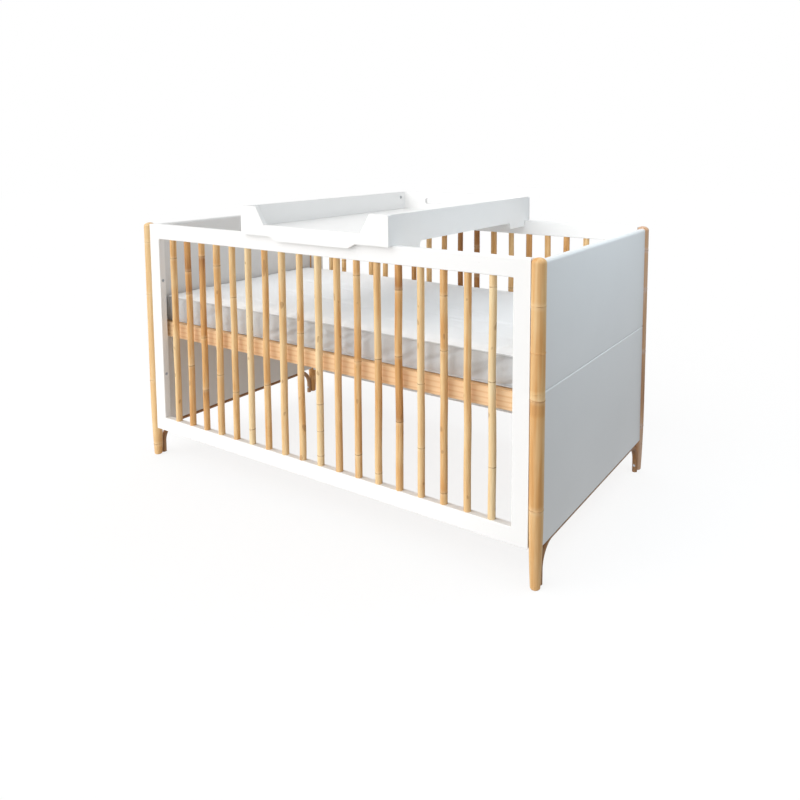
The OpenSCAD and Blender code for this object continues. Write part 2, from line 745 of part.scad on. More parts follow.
// A side board: notches over both rails, feet inside them with a hollow at the inner end
module side_board_outline() {
    foot_y = inner_half_y - tray_foot_gap;
    difference() {
        translate([-tray_inner_y, -tray_foot_drop])
            square([2 * tray_inner_y, tray_h + tray_foot_drop]);
        for (y = [0, 1]) mirror([y, 0])
            translate([foot_y, -tray_foot_drop - past])
                square([tray_inner_y, tray_foot_drop + past + panel_fit]);
        translate([-foot_y + tray_foot_l, -tray_foot_drop - past]) difference() {
            square([2 * (foot_y - tray_foot_l), tray_foot_drop + past + panel_fit]);
            for (y = [0, 1]) translate([y * 2 * (foot_y - tray_foot_l), tray_foot_drop + past + panel_fit])
                mirror([y, 0]) difference() {
                    translate([0, -tray_foot_fillet]) square(tray_foot_fillet);
                    translate([tray_foot_fillet, -tray_foot_fillet])
                        circle(r = tray_foot_fillet, $fn = sides);
                }
        }
    }
}

module tray_side(side_x) {
    color(white) difference() {
        tray_place() translate([side_x * (tray_inner_x + tray_side_t / 2), 0, side_top_z])
            rotate([90, 0, 90]) linear_extrude(tray_side_t, center = true) side_board_outline();
        floor_cut();
        tray_corner_places(tray_dowel_z) tray_dowel_hole();
        tray_corner_places(cam_z) translate([0, -cam_inset - cam_d / 2, 0])
            drill_y(cam_bolt_d + 2 * fit, cam_inset + cam_d);
        tray_cam_places() drill_z(cam_d + 2 * fit, cam_l + 2 * past);
    }
}

// The cam discs sit in the side boards' inner faces, pointing out of the wood along +Z
module tray_cam_places() {
    for (x = [-1, 1], y = [-1, 1]) tray_place()
        translate([x * (tray_inner_x + cam_l), y * (tray_inner_y - cam_inset), cam_z])
            rotate([0, -x * 90, 0]) children();
}

module tray_floor() {
    play = 0.4;
    color(white) tray_place()
        translate([-tray_inner_x - floor_groove + play, -tray_inner_y - floor_groove + play,
                   floor_z + fit])
            cube([2 * (tray_inner_x + floor_groove - play),
                  2 * (tray_inner_y + floor_groove - play), floor_t]);
}

module tray_dowels() {
    color(beech) tray_corner_places(tray_dowel_z)
        translate([0, fit - tray_dowel_in, 0]) drill_y(tray_dowel_d, tray_dowel_l - 2 * fit);
}

module tray_cam_bolts() {
    color(steel) tray_corner_places(cam_z)
        translate([0, -cam_inset, 0]) drill_y(cam_bolt_d, cam_inset + cam_bolt_grip - fit);
}

module tray_cams() {
    color(steel) difference() {
        tray_cam_places() difference() {
            drill_z(cam_d, cam_l - fit);
            translate([0, 0, cam_l]) rotate([0, 0, 20]) for (a = [0, 90]) rotate([0, 0, a])
                cube([cam_cross_w, cam_slot_w, 2 * cam_slot_w], center = true);
        }
        tray_corner_places(cam_z)
            translate([0, -cam_inset - panel_fit, 0]) drill_y(cam_bolt_d + 2 * fit, cam_inset);
    }
}

post_lower(-1, -1);  // post_lower_front_left
post_lower(1, -1);  // post_lower_front_right
post_lower(-1, 1);  // post_lower_back_left
post_lower(1, 1);  // post_lower_back_right
post_upper(-1, -1);  // post_upper_front_left
post_upper(1, -1);  // post_upper_front_right
post_upper(-1, 1);  // post_upper_back_left
post_upper(1, 1);  // post_upper_back_right
post_dowels();
panel_lower(-1);  // panel_lower_left
panel_lower(1);  // panel_lower_right
panel_upper(-1);  // panel_upper_left
panel_upper(1);  // panel_upper_right
panel_dowels();
arch(-1);  // arch_left
arch(1);  // arch_right
arch_screws();
top_rail(-1);  // front_top_rail
bottom_rail(-1);  // front_bottom_rail
stile(-1, -1);  // front_stile_left
stile(1, -1);  // front_stile_right
bars(-1);  // front_bars
top_rail(1);  // back_top_rail
bottom_rail(1);  // back_bottom_rail
stile(-1, 1);  // back_stile_left
stile(1, 1);  // back_stile_right
bars(1);  // back_bars
frame_dowels();
side_bolts();
post_inserts();
base_side_rail(-1);  // base_rail_front
base_side_rail(1);  // base_rail_back
base_end(-1);  // base_end_left
base_end(1);  // base_end_right
slat_ledges();
base_slats();
base_screws();
base_bolts();
panel_inserts();
mattress();
tray_front_board();
tray_back_board();
tray_side(-1);  // tray_side_left
tray_side(1);  // tray_side_right
tray_floor();
tray_dowels();
tray_cam_bolts();
tray_cams();
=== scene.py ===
import math

import bmesh
import bpy
import numpy as np
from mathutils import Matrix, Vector


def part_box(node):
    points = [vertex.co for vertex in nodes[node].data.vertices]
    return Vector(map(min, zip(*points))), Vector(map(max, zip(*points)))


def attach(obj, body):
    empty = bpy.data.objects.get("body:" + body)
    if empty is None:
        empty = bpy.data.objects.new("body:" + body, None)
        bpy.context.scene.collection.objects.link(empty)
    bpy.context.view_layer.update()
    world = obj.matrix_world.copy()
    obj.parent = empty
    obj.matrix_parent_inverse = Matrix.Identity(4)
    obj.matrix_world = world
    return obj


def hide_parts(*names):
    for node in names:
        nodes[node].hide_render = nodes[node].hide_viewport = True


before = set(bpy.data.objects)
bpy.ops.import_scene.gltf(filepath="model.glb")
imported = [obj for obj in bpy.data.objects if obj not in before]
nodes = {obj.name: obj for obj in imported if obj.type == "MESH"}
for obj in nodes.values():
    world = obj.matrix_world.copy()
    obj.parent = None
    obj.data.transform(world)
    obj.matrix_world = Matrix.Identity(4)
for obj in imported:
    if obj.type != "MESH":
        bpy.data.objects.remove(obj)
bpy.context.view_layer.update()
scene = bpy.context.scene
print("frame loaded:", len(nodes), "nodes")


# Small helpers for objects and node trees

def addObject(name, data):
    item = bpy.data.objects.new(name, data)
    scene.collection.objects.link(item)
    return item


def bakeModifiers(piece):
    bpy.context.view_layer.update()
    mesh = bpy.data.meshes.new_from_object(piece.evaluated_get(bpy.context.evaluated_depsgraph_get()))
    piece.modifiers.clear()
    piece.data = mesh


def emptyTree(data):
    data.use_nodes = True
    data.node_tree.nodes.clear()
    return data.node_tree


def addNode(tree, kind, inputs=(), **settings):
    node = tree.nodes.new(kind)
    for key, value in settings.items():
        setattr(node, key, value)
    for key, value in dict(inputs).items():
        if isinstance(value, bpy.types.NodeSocket):
            tree.links.new(value, node.inputs[key])
        else:
            node.inputs[key].default_value = value
    return node


def calc(tree, operation, *values, clamp=False):
    node = addNode(tree, "ShaderNodeMath", enumerate(values), operation=operation, use_clamp=clamp)
    return node.outputs[0]


def ramp(tree, value, fromLow, fromHigh, toLow=0.0, toHigh=1.0, soft=False):
    sockets = {"Value": value, "From Min": fromLow, "From Max": fromHigh, "To Min": toLow, "To Max": toHigh}
    kind = "SMOOTHSTEP" if soft else "LINEAR"
    return addNode(tree, "ShaderNodeMapRange", sockets, interpolation_type=kind).outputs["Result"]


def mixColour(tree, factor, first, second, mode="MIX"):
    node = addNode(tree, "ShaderNodeMix", {0: factor, 6: first, 7: second}, data_type="RGBA", blend_type=mode)
    return node.outputs[2]


def noise(tree, vector, scale, detail, roughness=0.5):
    sockets = {"Vector": vector, "Scale": scale, "Detail": detail, "Roughness": roughness}
    return addNode(tree, "ShaderNodeTexNoise", sockets).outputs["Fac"]


def stretched(tree, vector, scale):
    sockets = {"Vector": vector, "Scale": scale}
    return addNode(tree, "ShaderNodeMapping", sockets).outputs["Vector"]


def newGroup(name, kind, inputs, outputs):
    group = bpy.data.node_groups.new(name, kind)
    for direction, rows in (("INPUT", inputs), ("OUTPUT", outputs)):
        for row in rows:
            socket = group.interface.new_socket(row[0], in_out=direction, socket_type="NodeSocket" + row[1])
            if len(row) > 2:
                socket.default_value = row[2]
    entry = group.nodes.new("NodeGroupInput")
    leave = group.nodes.new("NodeGroupOutput")
    return group, entry.outputs, leave


def useGroup(tree, group, **values):
    inputs = {key[0].upper() + "".join(" " + c if c.isupper() else c for c in key[1:]): value
              for key, value in values.items()}
    return addNode(tree, "ShaderNodeGroup", inputs, node_tree=group).outputs


def startMaterial(name, **plain):
    material = bpy.data.materials.new(name)
    tree = emptyTree(material)
    surface = addNode(tree, "ShaderNodeBsdfPrincipled")
    leave = addNode(tree, "ShaderNodeOutputMaterial")
    tree.links.new(surface.outputs[0], leave.inputs["Surface"])
    for key, value in plain.items():
        surface.inputs[key.replace("_", " ")].default_value = value
    place = addNode(tree, "ShaderNodeTexCoord").outputs["Object"]
    return material, tree, surface, place


def connect(tree, surface, colour, roughness, height, strength, distance):
    tree.links.new(colour, surface.inputs["Base Color"])
    tree.links.new(roughness, surface.inputs["Roughness"])
    bump = addNode(tree, "ShaderNodeBump", {"Height": height, "Strength": strength, "Distance": distance})
    tree.links.new(bump.outputs["Normal"], surface.inputs["Normal"])


# Camera, floor and light

cameraSettings = {
    "position": (1.41747, -1.88545, 1.05555),
    "azimuth": math.radians(32.56),             # turned left from looking straight at the front
    "elevation": math.radians(5.59),            # looking down
    "focal": 724.67,                            # in pixels of a picture 800 pixels wide
    "picture": 800.0,
    "sensor": 36.0,
    "shift": (-0.0565, -0.2286),
}


def addCamera(settings):
    lens = bpy.data.cameras.new("cribCamera")
    lens.sensor_width = settings["sensor"]
    lens.lens = settings["focal"] * settings["sensor"] / settings["picture"]
    lens.shift_x, lens.shift_y = settings["shift"]
    lens.clip_end = 60
    camera = addObject("cribCamera", lens)
    camera.location = settings["position"]
    camera.rotation_euler = (math.pi / 2 - settings["elevation"], 0, settings["azimuth"])
    scene.camera = camera


studio = {
    "floorSize": 30.0,
    "floorSeen": 0.98,             # grey level of the floor to the camera
    "floorGlow": 0.82,             # share of plain white that the camera sees in it
    "bounceLeft": 0.90,            # grey level to the light that it throws back, left and right of the crib
    "bounceRight": 0.04,
    "bounceFar": 0.45,             # share of it that is left well past the left end
    "bounceTurn": (0.3, 1.1),      # between these places across, it goes from the left level to the right one
    "farTurn": (-1.7, -0.8),       # and between these from the far share to the whole
    "skyLight": 0.80,              # strength of the even light from all round
    "skyMost": 1.14,               # most that it grows towards the left
    "skyLean": -0.47,              # how much weaker it is on the right than overhead
    "keyStrength": 2.0,
    "keySoftness": math.radians(75),
    "keyTurn": (math.radians(66), 0, math.radians(-24)),
    "windowColour": (0.70, 0.87, 1.0),
    # strength, width, height, place and aim of each window pane
    "panes": [(1.8, 1.3, 0.3, (1.25, 0.12, 1.02), (0.75, 0.07, 0.15)),
              (3.2, 0.7, 0.7, (1.30, -0.10, 1.55), (0.30, 0.00, 0.60))],
}


def seenPlainly(tree):
    ray = addNode(tree, "ShaderNodeLightPath").outputs
    seen = calc(tree, "MAXIMUM", ray["Is Camera Ray"], ray["Is Glossy Ray"])
    return calc(tree, "MAXIMUM", seen, ray["Is Transmission Ray"])


def addFloor(settings):
    mesh = bpy.data.meshes.new("floor")
    half = settings["floorSize"] / 2
    corners = [(-half, -half, 0), (half, -half, 0), (half, half, 0), (-half, half, 0)]
    mesh.from_pydata(corners, [], [(0, 1, 2, 3)])
    floor = addObject("floor", mesh)
    material = bpy.data.materials.new("paleFloor")
    tree = emptyTree(material)
    plainly = seenPlainly(tree)
    spot = addNode(tree, "ShaderNodeTexCoord").outputs["Object"]
    across = addNode(tree, "ShaderNodeSeparateXYZ", {0: spot}).outputs[0]
    bounce = ramp(tree, across, *settings["bounceTurn"], settings["bounceLeft"], settings["bounceRight"],
                  soft=True)
    fade = ramp(tree, across, *settings["farTurn"], settings["bounceFar"], 1.0, soft=True)
    bounce = calc(tree, "MULTIPLY", bounce, fade)
    matt = addNode(tree, "ShaderNodeBsdfDiffuse")
    tree.links.new(ramp(tree, plainly, 0.0, 1.0, bounce, settings["floorSeen"]), matt.inputs["Color"])
    glow = addNode(tree, "ShaderNodeEmission", {"Strength": 1.0}).outputs[0]
    share = calc(tree, "MULTIPLY", plainly, settings["floorGlow"])
    mixed = addNode(tree, "ShaderNodeMixShader", {0: share, 1: matt.outputs[0], 2: glow}).outputs[0]
    addNode(tree, "ShaderNodeOutputMaterial", {"Surface": mixed})
    mesh.materials.append(material)


def addSky(settings):
    world = bpy.data.worlds.new("softRoom")
    scene.world = world
    tree = emptyTree(world)
    towards = addNode(tree, "ShaderNodeTexCoord").outputs["Object"]
    across = addNode(tree, "ShaderNodeSeparateXYZ", {0: towards}).outputs[0]
    lean = calc(tree, "MULTIPLY_ADD", across, settings["skyLean"], 1.0)
    sky = calc(tree, "MULTIPLY", calc(tree, "MINIMUM", lean, settings["skyMost"]), settings["skyLight"])
    strength = ramp(tree, seenPlainly(tree), 0.0, 1.0, sky, 1.0)
    sky = addNode(tree, "ShaderNodeBackground", {"Color": (1, 1, 1, 1), "Strength": strength}).outputs[0]
    addNode(tree, "ShaderNodeOutputWorld", {"Surface": sky})


def addLamps(settings):
    sun = bpy.data.lights.new("keyLight", "SUN")
    sun.energy = settings["keyStrength"]
    sun.angle = settings["keySoftness"]
    addObject("keyLight", sun).rotation_euler = settings["keyTurn"]
    for strength, width, tall, place, aim in settings["panes"]:
        pane = bpy.data.lights.new("windowLight", "AREA")
        pane.energy = strength
        pane.color = settings["windowColour"]
        pane.shape = "RECTANGLE"
        pane.size, pane.size_y = width, tall
        window = addObject("windowLight", pane)
        window.location = place
        window.rotation_euler = (Vector(aim) - Vector(place)).to_track_quat("-Z", "Y").to_euler()
        window.visible_camera = False


addCamera(cameraSettings)
addFloor(studio)
addSky(studio)
addLamps(studio)
scene.view_settings.view_transform = "Standard"
print("camera, floor and light ready")


# Effects that several finishes use

def makeFibreGrain():
    group, put, leave = newGroup(
        "fibreGrain", "ShaderNodeTree",
        [("Vector", "Vector"), ("Fibres", "Float", 900.0), ("Stretch", "Float", 40.0),
         ("Blotches", "Float", 14.0)],
        [("Fibre", "Float"), ("Blotch", "Float")])
    along = calc(group, "DIVIDE", put["Fibres"], put["Stretch"])
    scale = addNode(group, "ShaderNodeCombineXYZ", {0: put["Fibres"], 1: put["Fibres"], 2: along}).outputs[0]
    fibre = noise(group, stretched(group, put["Vector"], scale), 1.0, 3.0, 0.62)
    short = stretched(group, put["Vector"], (1.0, 1.0, 0.35))
    blotch = noise(group, short, put["Blotches"], 3.0, 0.55)
    group.links.new(ramp(group, fibre, 0.30, 0.70), leave.inputs["Fibre"])
    group.links.new(ramp(group, blotch, 0.32, 0.68), leave.inputs["Blotch"])
    return group


def makeGrowthRings():
    group, put, leave = newGroup(
        "growthRings", "ShaderNodeTree",
        [("Height", "Float")] + [("Ring " + c, "Float", -1.0) for c in "ABCD"] + [("Width", "Float", 0.0012)],
        [("Scar", "Float"), ("Bloom", "Float")])
    scar = bloom = None
    for c in "ABCD":
        far = calc(group, "ABSOLUTE", calc(group, "SUBTRACT", put["Height"], put["Ring " + c]))
        share = calc(group, "DIVIDE", far, put["Width"])
        line = ramp(group, share, 0.3, 1.4, 1.0, 0.0, soft=True)
        halo = ramp(group, share, 1.0, 9.0, 1.0, 0.0, soft=True)
        scar = line if scar is None else calc(group, "MAXIMUM", scar, line)
        bloom = halo if bloom is None else calc(group, "MAXIMUM", bloom, halo)
    group.links.new(scar, leave.inputs["Scar"])
    group.links.new(bloom, leave.inputs["Bloom"])
    return group


def makeCaneSkin():
    group, put, leave = newGroup(
        "caneSkin", "ShaderNodeTree",
        [("Tone", "Float", 0.4), ("Fibre", "Float"), ("Blotch", "Float"), ("Scar", "Float"),
         ("Bloom", "Float")],
        [("Colour", "Color"), ("Roughness", "Float"), ("Height", "Float")])
    wander = calc(group, "MULTIPLY_ADD", put["Blotch"], 0.22, -0.11)
    tone = calc(group, "ADD", put["Tone"], wander, clamp=True)
    skin = addNode(group, "ShaderNodeValToRGB", {"Fac": tone})
    stops = [(0.0, (0.90, 0.72, 0.44, 1)), (0.35, (0.83, 0.58, 0.30, 1)),
             (0.65, (0.68, 0.36, 0.13, 1)), (1.0, (0.36, 0.15, 0.05, 1))]
    for k, (place, colour) in enumerate(stops):
        stop = skin.color_ramp.elements[k] if k < 2 else skin.color_ramp.elements.new(place)
        stop.position, stop.color = place, colour
    lined = mixColour(group, ramp(group, put["Fibre"], 0.0, 1.0, 0.24, 0.0), skin.outputs[0],
                      (0.55, 0.31, 0.13, 1))
    bloomed = mixColour(group, calc(group, "MULTIPLY", put["Bloom"], 0.22), lined, (0.90, 0.73, 0.47, 1))
    scarred = mixColour(group, put["Scar"], bloomed, (0.34, 0.17, 0.07, 1))
    group.links.new(scarred, leave.inputs["Colour"])
    dull = calc(group, "MULTIPLY_ADD", put["Blotch"], 0.12, 0.40)
    group.links.new(calc(group, "MULTIPLY_ADD", put["Scar"], 0.25, dull), leave.inputs["Roughness"])
    deep = calc(group, "MULTIPLY", put["Scar"], -1.0)
    group.links.new(calc(group, "MULTIPLY_ADD", put["Fibre"], 0.25, deep), leave.inputs["Height"])
    return group


def makePaintFilm():
    group, put, leave = newGroup(
        "paintFilm", "ShaderNodeTree",
        [("Vector", "Vector"), ("Colour", "Color", (0.9, 0.9, 0.9, 1)), ("Ripple", "Float", 420.0)],
        [("Colour", "Color"), ("Roughness", "Float"), ("Height", "Float")])
    ripple = noise(group, put["Vector"], put["Ripple"], 2.0, 0.5)
    drift = noise(group, put["Vector"], 5.0, 3.0, 0.6)
    speck = ramp(group, noise(group, put["Vector"], 160.0, 1.0, 0.4), 0.74, 0.80)
    toned = mixColour(group, ramp(group, drift, 0.3, 0.7, 0.0, 0.05), put["Colour"], (0.62, 0.61, 0.58, 1))
    specked = mixColour(group, calc(group, "MULTIPLY", speck, 0.08), toned, (0.45, 0.43, 0.40, 1))
    group.links.new(specked, leave.inputs["Colour"])
    group.links.new(ramp(group, drift, 0.2, 0.8, 0.34, 0.46), leave.inputs["Roughness"])
    group.links.new(ripple, leave.inputs["Height"])
    return group


def makeThreadWeave():
    group, put, leave = newGroup(
        "threadWeave", "ShaderNodeTree",
        [("Vector", "Vector"), ("Pitch", "Float", 0.0012)],
        [("Height", "Float"), ("Gap", "Float")])
    turns = calc(group, "DIVIDE", math.tau, put["Pitch"])
    axes = addNode(group, "ShaderNodeSeparateXYZ", {"Vector": put["Vector"]}).outputs
    warp = calc(group, "SINE", calc(group, "MULTIPLY", axes[0], turns))
    weft = calc(group, "SINE", calc(group, "MULTIPLY", axes[1], turns))
    rise = calc(group, "SINE", calc(group, "MULTIPLY", axes[2], turns))
    plain = calc(group, "MULTIPLY", calc(group, "ADD", warp, weft), 0.35)
    cloth = calc(group, "ADD", plain, calc(group, "MULTIPLY", rise, 0.35))
    slub = noise(group, put["Vector"], 240.0, 2.0, 0.6)
    group.links.new(calc(group, "ADD", cloth, slub), leave.inputs["Height"])
    group.links.new(ramp(group, cloth, -1.0, 0.2, 1.0, 0.0), leave.inputs["Gap"])
    return group


fibreGrain = makeFibreGrain()
growthRings = makeGrowthRings()
caneSkin = makeCaneSkin()
paintFilm = makePaintFilm()
threadWeave = makeThreadWeave()


# Finishes

ringSettings = {
    "legWidth": 0.0016,            # half width of a ring's dark line on the legs, and on the bars
    "barWidth": 0.0014,
    "legWander": 0.009,            # how far that line wanders up and down
    "barWander": 0.0024,
}


def sway(tree, place, scale, detail, reach):
    return calc(tree, "MULTIPLY_ADD", noise(tree, place, scale, detail), reach, -reach / 2)


def legFinish(name, rings, tones, stain=(1, 1, 1, 1)):
    material, tree, surface, place = startMaterial(name, Specular_IOR_Level=0.20)
    height = addNode(tree, "ShaderNodeSeparateXYZ", {"Vector": place}).outputs[2]
    upward = addNode(tree, "ShaderNodeValToRGB", {"Fac": height})
    for k, (level, tone) in enumerate(tones):
        stop = upward.color_ramp.elements[k] if k < 2 else upward.color_ramp.elements.new(level)
        stop.position, stop.color = level, (tone, tone, tone, 1)
    wave = sway(tree, place, 38.0, 2.0, ringSettings["legWander"])
    marks = useGroup(tree, growthRings, height=calc(tree, "ADD", height, wave),
                     width=ringSettings["legWidth"], **{"ring" + c: z for c, z in zip("ABCD", rings)})
    worn = ramp(tree, noise(tree, place, 27.0, 2.0), 0.42, 0.60, 0.04, 0.48)
    grain = useGroup(tree, fibreGrain, vector=place, fibres=620.0, stretch=45.0, blotches=9.0)
    lines = noise(tree, stretched(tree, place, (95.0, 95.0, 4.0)), 1.0, 3.0)
    streak = ramp(tree, lines, 0.35, 0.70, -0.10, 0.18)
    tone = calc(tree, "ADD", upward.outputs[0], streak)
    skin = useGroup(tree, caneSkin, tone=tone, fibre=grain["Fibre"], blotch=grain["Blotch"],
                    scar=calc(tree, "MULTIPLY", marks["Scar"], worn), bloom=marks["Bloom"])
    # multiplies the cane colours by a tint: a real stain on the arch, and on the back right leg a bluish tint
    # that is painted bluish window light
    tintedColour = mixColour(tree, 1.0, skin["Colour"], stain, "MULTIPLY")
    connect(tree, surface, tintedColour, skin["Roughness"], skin["Height"], 0.35, 0.0006)
    return material


def caneFinish(name):
    material, tree, surface, place = startMaterial(name, Specular_IOR_Level=0.20)

    def own(key):
        return addNode(tree, "ShaderNodeAttribute", attribute_name=key).outputs["Fac"]

    wave = sway(tree, place, 90.0, 1.0, ringSettings["barWander"])
    marks = useGroup(tree, growthRings, height=calc(tree, "ADD", own("caneHeight"), wave),
                     width=ringSettings["barWidth"], **{"ring" + c: own("ring" + c) for c in "ABC"})
    worn = ramp(tree, noise(tree, place, 75.0, 1.0), 0.35, 0.60, 0.25, 0.85)
    knot = ramp(tree, noise(tree, stretched(tree, place, (1.0, 1.0, 0.5)), 62.0, 0.0), 0.765, 0.80)
    grain = useGroup(tree, fibreGrain, vector=place, fibres=900.0, stretch=60.0, blotches=11.0)
    lines = noise(tree, stretched(tree, place, (130.0, 130.0, 7.0)), 1.0, 2.0)
    streak = ramp(tree, lines, 0.40, 0.75, -0.08, 0.22)
    tone = calc(tree, "ADD", own("caneTone"), streak)
    ringScar = calc(tree, "MULTIPLY", marks["Scar"], worn)
    scar = calc(tree, "MAXIMUM", ringScar, calc(tree, "MULTIPLY", knot, 0.5))
    skin = useGroup(tree, caneSkin, tone=tone, fibre=grain["Fibre"], blotch=grain["Blotch"], scar=scar,
                    bloom=marks["Bloom"])
    connect(tree, surface, skin["Colour"], skin["Roughness"], skin["Height"], 0.35, 0.0005)
    return material


def paintFinish(name, colour):
    material, tree, surface, place = startMaterial(name, Coat_Weight=0.05, Coat_Roughness=0.35)
    film = useGroup(tree, paintFilm, vector=place, colour=colour)
    connect(tree, surface, film["Colour"], film["Roughness"], film["Height"], 0.12, 0.0003)
    return material


def boardFinish(name, turn, pale, dark, fibres=240.0):
    material, tree, surface, place = startMaterial(name, Specular_IOR_Level=0.35)
    lengthwise = addNode(tree, "ShaderNodeMapping", {"Vector": place, "Rotation": turn}).outputs[0]
    grain = useGroup(tree, fibreGrain, vector=lengthwise, fibres=fibres, stretch=70.0, blotches=4.0)
    bent = stretched(tree, lengthwise, (26.0, 26.0, 1.1))
    year = addNode(tree, "ShaderNodeTexWave", {"Vector": bent, "Scale": 0.9, "Distortion": 5.0, "Detail": 2.0,
                                               "Detail Scale": 0.6}, bands_direction="X").outputs["Fac"]
    late = ramp(tree, year, 0.55, 0.98)
    warm = mixColour(tree, calc(tree, "MULTIPLY", grain["Blotch"], 0.45), pale,
                     (pale[0] * 0.94, pale[1] * 0.80, pale[2] * 0.70, 1))
    ringed = mixColour(tree, calc(tree, "MULTIPLY", late, 0.55), warm, dark)
    fine = mixColour(tree, ramp(tree, grain["Fibre"], 0.0, 1.0, 0.22, 0.0), ringed, dark)
    rough = ramp(tree, late, 0.0, 1.0, 0.62, 0.50)
    connect(tree, surface, fine, rough, grain["Fibre"], 0.25, 0.0004)
    return material


def clothFinish(name, colour, shade, pitch):
    material, tree, surface, place = startMaterial(name, Sheen_Weight=0.25, Sheen_Roughness=0.5,
                                                   Specular_IOR_Level=0.2)
    weave = useGroup(tree, threadWeave, vector=place, pitch=pitch)
    drift = noise(tree, place, 3.5, 3.0, 0.6)
    dyed = mixColour(tree, ramp(tree, drift, 0.3, 0.7, 0.0, 0.25), colour, shade)
    # darkens the cloth toward its shade colour where the threads part: painted shade in the weave's gaps
    gapShaded = mixColour(tree, calc(tree, "MULTIPLY", weave["Gap"], 0.30), dyed, shade)
    rough = ramp(tree, weave["Gap"], 0.0, 1.0, 0.80, 0.95)
    connect(tree, surface, gapShaded, rough, weave["Height"], 0.30, 0.0005)
    return material


def metalFinish(name, colour, shade, roughness):
    material, tree, surface, place = startMaterial(name, Metallic=1.0)
    brushed = noise(tree, stretched(tree, place, (1.0, 1.0, 6.0)), 900.0, 2.0)
    spangle = noise(tree, place, 260.0, 1.0)
    toned = mixColour(tree, ramp(tree, spangle, 0.35, 0.65), colour, shade)
    connect(tree, surface, toned, ramp(tree, brushed, 0.2, 0.8, roughness - 0.08, roughness + 0.12), brushed,
            0.15, 0.0002)
    return material


legRings = {                       # heights of the growth rings, as the legs have them
    "front_right": (0.200, 0.467, 0.690, -0.10),
    "front_left": (0.037, 0.262, 0.560, 0.738),
    "back_right": (0.150, 0.398, 0.600, 0.727),
    "back_left": (0.060, 0.310, 0.530, 0.668),
}
legTones = {                       # heights and how dark the cane is there
    "front_right": [(0.0, 0.52), (0.13, 0.50), (0.196, 0.50), (0.204, 0.64), (0.425, 0.58), (0.435, 0.68),
                    (0.466, 0.68), (0.470, 0.38), (0.486, 0.40), (0.492, 0.52), (0.690, 0.48), (0.88, 0.54)],
    "front_left": [(0.0, 0.62), (0.05, 0.58), (0.10, 0.40), (0.262, 0.42), (0.48, 0.34), (0.88, 0.38)],
    "back_right": [(0.0, 0.62), (0.398, 0.66), (0.55, 0.62), (0.88, 0.58)],
    "back_left": [(0.0, 0.74), (0.310, 0.72), (0.53, 0.70), (0.88, 0.66)],
}
alongX = (0, math.radians(90), 0)
alongY = (math.radians(90), 0, 0)
pinePale = (0.94, 0.69, 0.43, 1)
pineDark = (0.76, 0.44, 0.20, 1)
archStain = (0.50, 0.46, 0.52, 1)  # over the cane's own colours
# bluish tint over the back right leg's cane colours: painted bluish window light
backLegBlueLightTint = (0.88, 0.97, 1.50, 1)

finishes = {
    "white": paintFinish("whitePaint", (0.885, 0.88, 0.87, 1)),
    "grey": paintFinish("greyPaint", (0.775, 0.775, 0.77, 1)),
    "pineLong": boardFinish("pineLengthwise", alongX, pinePale, pineDark),
    "pineCross": boardFinish("pineCrosswise", alongY, pinePale, pineDark),
    "beech": boardFinish("beechDowel", alongX, (0.70, 0.48, 0.29, 1), (0.52, 0.30, 0.16, 1), 500.0),
    "steel": metalFinish("zincSteel", (0.55, 0.56, 0.58, 1), (0.42, 0.43, 0.46, 1), 0.34),
    "brass": metalFinish("plainBrass", (0.80, 0.62, 0.30, 1), (0.68, 0.50, 0.22, 1), 0.30),
    "cane": caneFinish("caneBars"),
    # the bent cane's tone rises to its darkest above 0.13 m, along the panels' bottom edges: painted shade
    # under the panels
    "arch": legFinish("bentCane", (-0.1, -0.2, -0.3, -0.4), [(0.0, 0.50), (0.10, 0.62), (0.13, 1.0)],
                      archStain),
    # the top's white is raised near to full and tinted blue: partly the cotton's own colour and partly
    # painted bright bluish light from above
    "coverTop": clothFinish("coverTop", (0.95, 0.965, 0.98, 1), (0.90, 0.93, 0.96, 1), 0.0016),
    "coverSide": clothFinish("coverSide", (0.635, 0.65, 0.665, 1), (0.51, 0.525, 0.54, 1), 0.0016),
}
# the back right leg gets the bluish tint of painted window light
for corner, rings in legRings.items():
    finishes[corner] = legFinish("legCane." + corner, rings, legTones[corner],
                                 backLegBlueLightTint if corner == "back_right" else (1, 1, 1, 1))


def finishOf(name):
    if name.startswith("post_lower_") or name.startswith("post_upper_"):
        return finishes[name[len("post_lower_"):]]
    if name in ("arch_left", "arch_right"):
        return finishes["arch"]
    if name.endswith("dowels"):
        return finishes["beech"]
    if name.endswith("inserts"):
        return finishes["brass"]
    if name.startswith("panel_"):
        return finishes["grey"]
    if name in ("base_rail_front", "base_rail_back", "slat_ledges"):
        return finishes["pineLong"]
    if name in ("base_end_left", "base_end_right", "base_slats"):
        return finishes["pineCross"]
    if name.endswith("bars"):
        return finishes["cane"]
    if name.endswith(("screws", "bolts", "cams")):
        return finishes["steel"]
    return finishes["white"]


for name, node in nodes.items():
    node.data.materials.clear()
    node.data.materials.append(finishOf(name))
print("finishes ready:", len(finishes))


# Cane bars: one row on each side, laid out and shaped by a node tree

